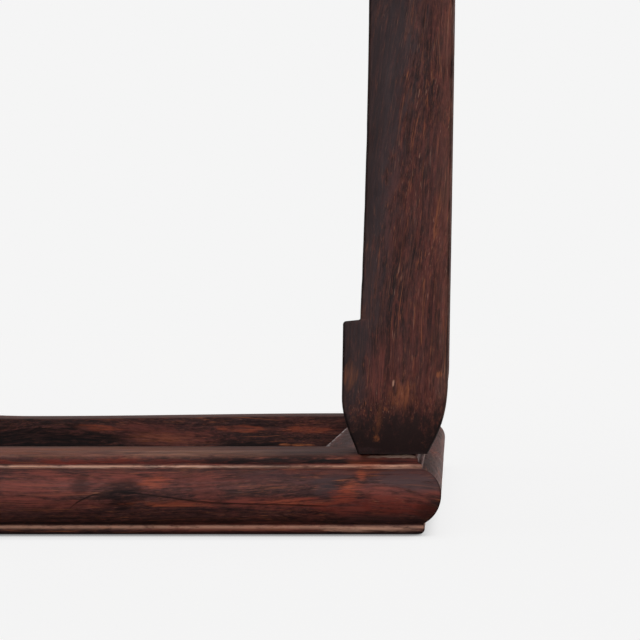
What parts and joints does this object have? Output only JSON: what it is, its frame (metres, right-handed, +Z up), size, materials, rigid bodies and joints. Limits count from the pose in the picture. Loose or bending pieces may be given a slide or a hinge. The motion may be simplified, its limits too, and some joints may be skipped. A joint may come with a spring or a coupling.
{
  "type": "plant stand",
  "caption": "Tall square wooden plant stand: framed floating panel on a waisted apron, leaning legs with spurred feet standing on a moulded floor frame.",
  "frame": {"origin": "on the floor under the middle of the stand", "axes": "+Z up; -Y is the front, though all four sides are alike; X and Y are square to the sides"},
  "size_m": [0.48, 0.48, 0.9],
  "materials": {
    "rosewood": "old waxed rosewood, satin, worn light on its edges",
    "dark_rosewood": "old waxed rosewood, satin, darker",
    "bamboo": "split bamboo, end grain, unfinished"
  },
  "bodies": {
    "root": {"base_rail_front": "rosewood", "base_rail_back": "rosewood", "base_rail_left": "rosewood", "base_rail_right": "rosewood", "base_pins": "bamboo", "leg_front_left": "rosewood", "leg_front_right": "rosewood", "leg_back_left": "rosewood", "leg_back_right": "rosewood", "apron_front": "rosewood", "apron_back": "rosewood", "apron_left": "rosewood", "apron_right": "rosewood", "waist_front": "dark_rosewood", "waist_back": "dark_rosewood", "waist_left": "dark_rosewood", "waist_right": "dark_rosewood", "top_rail_front": "rosewood", "top_rail_back": "rosewood", "top_rail_left": "rosewood", "top_rail_right": "rosewood", "top_pins": "bamboo", "top_panel": "dark_rosewood", "batten_left": "rosewood", "batten_right": "rosewood"}
  },
  "joints": []
}
